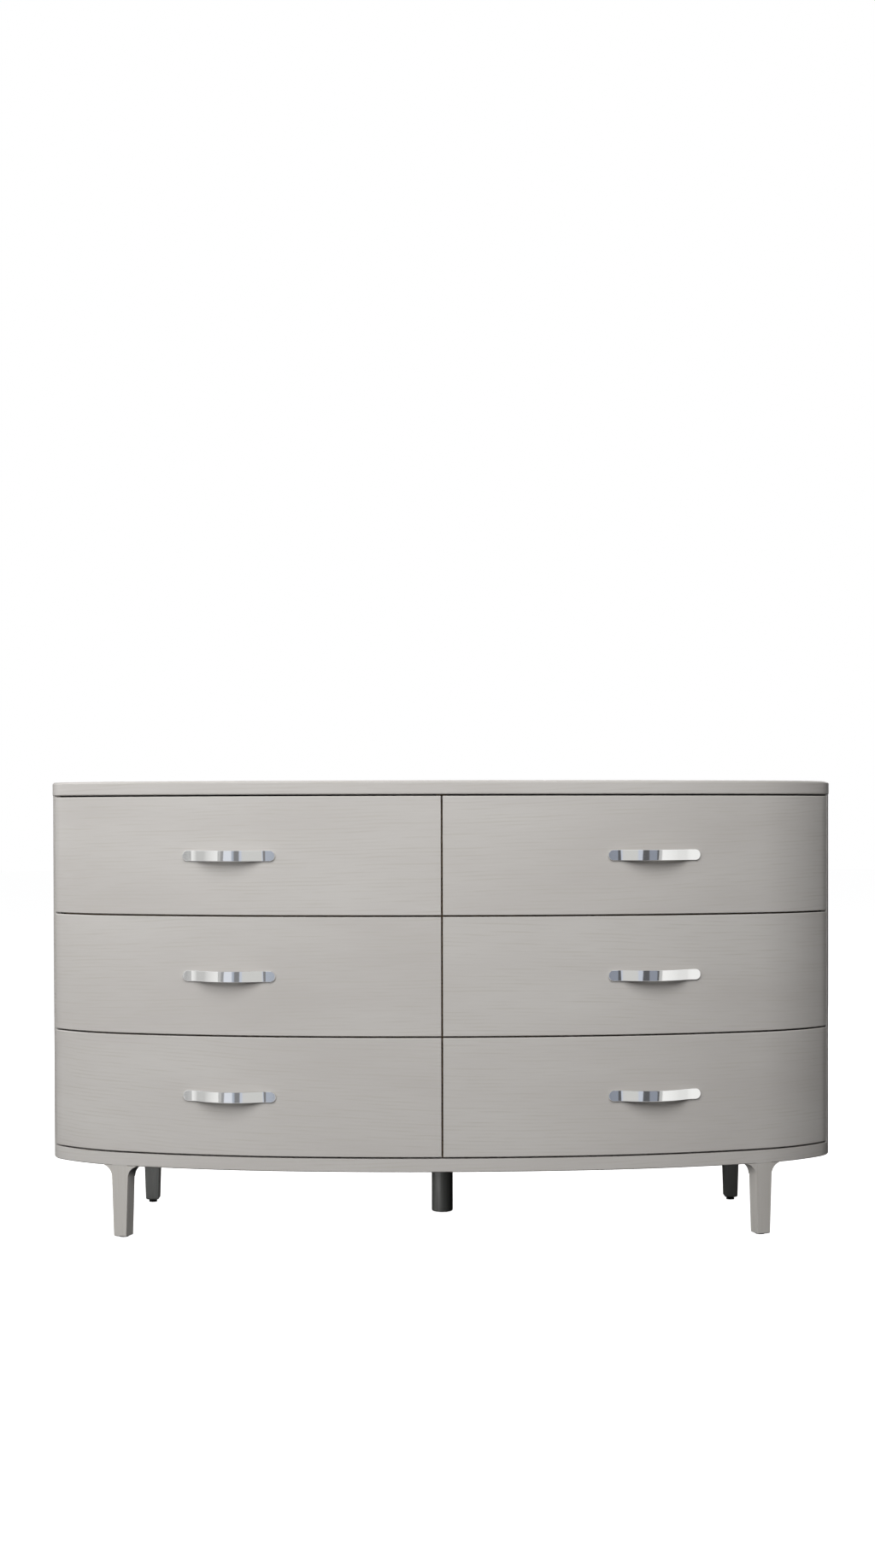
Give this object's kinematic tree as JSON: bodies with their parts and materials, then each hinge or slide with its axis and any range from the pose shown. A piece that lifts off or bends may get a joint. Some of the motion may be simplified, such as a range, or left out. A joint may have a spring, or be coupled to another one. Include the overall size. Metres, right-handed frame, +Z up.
{
  "type": "bow front chest of drawers",
  "caption": "Low, wide chest of drawers with a deeply bowed front, flat strap pulls, a thin D-shaped top and base, slim flared front legs and drawers on telescopic runners.",
  "frame": {"origin": "on the floor under the middle of the footprint", "axes": "+X to the right as seen from the front, +Y towards the back, +Z up; the bowed front faces -Y"},
  "size_m": [1.524, 0.508, 0.8695],
  "materials": {
    "lacquered_veneer": "semi-gloss grey-beige lacquer over fine straight grain",
    "lacquered_wood": "semi-gloss grey-beige lacquer, grain upright",
    "dark_stained_wood": "satin charcoal lacquer",
    "drawer_wood": "clear satin lacquer on light hardwood",
    "case_wood": "sealed softwood and board",
    "plywood": "sanded plywood",
    "polished_chrome": "polished",
    "plated_steel": "zinc plated",
    "black_nylon": "moulded, matt"
  },
  "bodies": {
    "case": {"top_panel": "lacquered_veneer", "base_panel": "lacquered_veneer", "right_side_panel": "lacquered_veneer", "left_side_panel": "lacquered_veneer", "centre_partition": "case_wood", "back_panel": "plywood", "drawer_rails": "case_wood", "front_right_leg": "lacquered_wood", "front_left_leg": "lacquered_wood", "rear_right_leg": "dark_stained_wood", "rear_left_leg": "dark_stained_wood", "centre_leg": "dark_stained_wood", "foot_pads": "black_nylon", "rear_levelers": "black_nylon", "case_runners": "plated_steel"},
    "lower_left_drawer": {"lower_left_front": "lacquered_veneer", "lower_left_box": "drawer_wood", "lower_left_bottom": "plywood", "lower_left_pull": "polished_chrome", "lower_left_drawer_runners": "plated_steel"},
    "lower_left_middle_runner": {"lower_left_middle_runners": "plated_steel"},
    "lower_right_drawer": {"lower_right_front": "lacquered_veneer", "lower_right_box": "drawer_wood", "lower_right_bottom": "plywood", "lower_right_pull": "polished_chrome", "lower_right_drawer_runners": "plated_steel"},
    "lower_right_middle_runner": {"lower_right_middle_runners": "plated_steel"},
    "middle_left_drawer": {"middle_left_front": "lacquered_veneer", "middle_left_box": "drawer_wood", "middle_left_bottom": "plywood", "middle_left_pull": "polished_chrome", "middle_left_drawer_runners": "plated_steel"},
    "middle_left_middle_runner": {"middle_left_middle_runners": "plated_steel"},
    "middle_right_drawer": {"middle_right_front": "lacquered_veneer", "middle_right_box": "drawer_wood", "middle_right_bottom": "plywood", "middle_right_pull": "polished_chrome", "middle_right_drawer_runners": "plated_steel"},
    "middle_right_middle_runner": {"middle_right_middle_runners": "plated_steel"},
    "upper_left_drawer": {"upper_left_front": "lacquered_veneer", "upper_left_box": "drawer_wood", "upper_left_bottom": "plywood", "upper_left_pull": "polished_chrome", "upper_left_drawer_runners": "plated_steel"},
    "upper_left_middle_runner": {"upper_left_middle_runners": "plated_steel"},
    "upper_right_drawer": {"upper_right_front": "lacquered_veneer", "upper_right_box": "drawer_wood", "upper_right_bottom": "plywood", "upper_right_pull": "polished_chrome", "upper_right_drawer_runners": "plated_steel"},
    "upper_right_middle_runner": {"upper_right_middle_runners": "plated_steel"}
  },
  "joints": [
    {"name": "lower_left_drawer_slide", "type": "slide", "parent": "case", "child": "lower_left_drawer", "axis": [0, -1, 0], "range_m": [0, 0.25]},
    {"name": "lower_left_middle_runner_slide", "type": "slide", "parent": "case", "child": "lower_left_middle_runner", "axis": [0, -1, 0], "range_m": [0, 0.125]},
    {"name": "lower_right_drawer_slide", "type": "slide", "parent": "case", "child": "lower_right_drawer", "axis": [0, -1, 0], "range_m": [0, 0.25]},
    {"name": "lower_right_middle_runner_slide", "type": "slide", "parent": "case", "child": "lower_right_middle_runner", "axis": [0, -1, 0], "range_m": [0, 0.125]},
    {"name": "middle_left_drawer_slide", "type": "slide", "parent": "case", "child": "middle_left_drawer", "axis": [0, -1, 0], "range_m": [0, 0.25]},
    {"name": "middle_left_middle_runner_slide", "type": "slide", "parent": "case", "child": "middle_left_middle_runner", "axis": [0, -1, 0], "range_m": [0, 0.125]},
    {"name": "middle_right_drawer_slide", "type": "slide", "parent": "case", "child": "middle_right_drawer", "axis": [0, -1, 0], "range_m": [0, 0.25]},
    {"name": "middle_right_middle_runner_slide", "type": "slide", "parent": "case", "child": "middle_right_middle_runner", "axis": [0, -1, 0], "range_m": [0, 0.125]},
    {"name": "upper_left_drawer_slide", "type": "slide", "parent": "case", "child": "upper_left_drawer", "axis": [0, -1, 0], "range_m": [0, 0.25]},
    {"name": "upper_left_middle_runner_slide", "type": "slide", "parent": "case", "child": "upper_left_middle_runner", "axis": [0, -1, 0], "range_m": [0, 0.125]},
    {"name": "upper_right_drawer_slide", "type": "slide", "parent": "case", "child": "upper_right_drawer", "axis": [0, -1, 0], "range_m": [0, 0.25]},
    {"name": "upper_right_middle_runner_slide", "type": "slide", "parent": "case", "child": "upper_right_middle_runner", "axis": [0, -1, 0], "range_m": [0, 0.125]}
  ],
  "couplings": [
    {"joint": "lower_left_middle_runner_slide", "follows": "lower_left_drawer_slide", "ratio": 0.5},
    {"joint": "lower_right_middle_runner_slide", "follows": "lower_right_drawer_slide", "ratio": 0.5},
    {"joint": "middle_left_middle_runner_slide", "follows": "middle_left_drawer_slide", "ratio": 0.5},
    {"joint": "middle_right_middle_runner_slide", "follows": "middle_right_drawer_slide", "ratio": 0.5},
    {"joint": "upper_left_middle_runner_slide", "follows": "upper_left_drawer_slide", "ratio": 0.5},
    {"joint": "upper_right_middle_runner_slide", "follows": "upper_right_drawer_slide", "ratio": 0.5}
  ]
}
